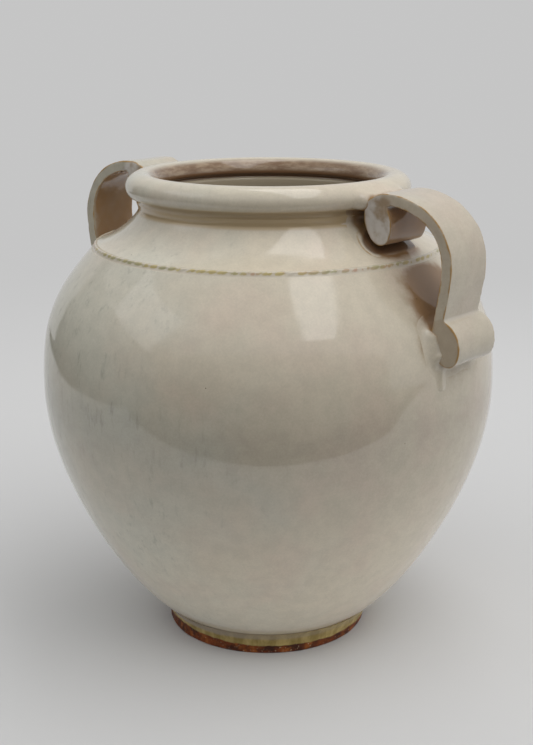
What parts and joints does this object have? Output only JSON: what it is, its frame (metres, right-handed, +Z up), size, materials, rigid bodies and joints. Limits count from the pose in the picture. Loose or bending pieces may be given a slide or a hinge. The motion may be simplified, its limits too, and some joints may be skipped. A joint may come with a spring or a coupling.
{
  "type": "two-handled earthenware pot",
  "caption": "Round-bellied glazed storage pot on a foot ring, with a notched shoulder cord, a wide rolled rim and two strap handles that end in rolls.",
  "frame": {"origin": "middle of the foot ring's flat underside, which is the bottom centre of the whole part to within a millimetre", "axes": "+Z up through the mouth, +X towards the right handle, -X towards the left handle, -Y the side between them that faces the viewer"},
  "size_m": [0.2879, 0.27, 0.2806],
  "materials": {
    "cream_glaze": "glossy",
    "edge_glaze": "glossy",
    "bare_clay": "matte"
  },
  "bodies": {
    "root": {"foot_ring": "bare_clay", "body": "cream_glaze", "shoulder_cord": "edge_glaze", "collar": "cream_glaze", "rim": "cream_glaze", "handle_right": "cream_glaze", "luting_right_upper": "cream_glaze", "luting_right_lower": "cream_glaze", "handle_left": "cream_glaze", "luting_left_upper": "cream_glaze", "luting_left_lower": "cream_glaze"}
  },
  "joints": []
}
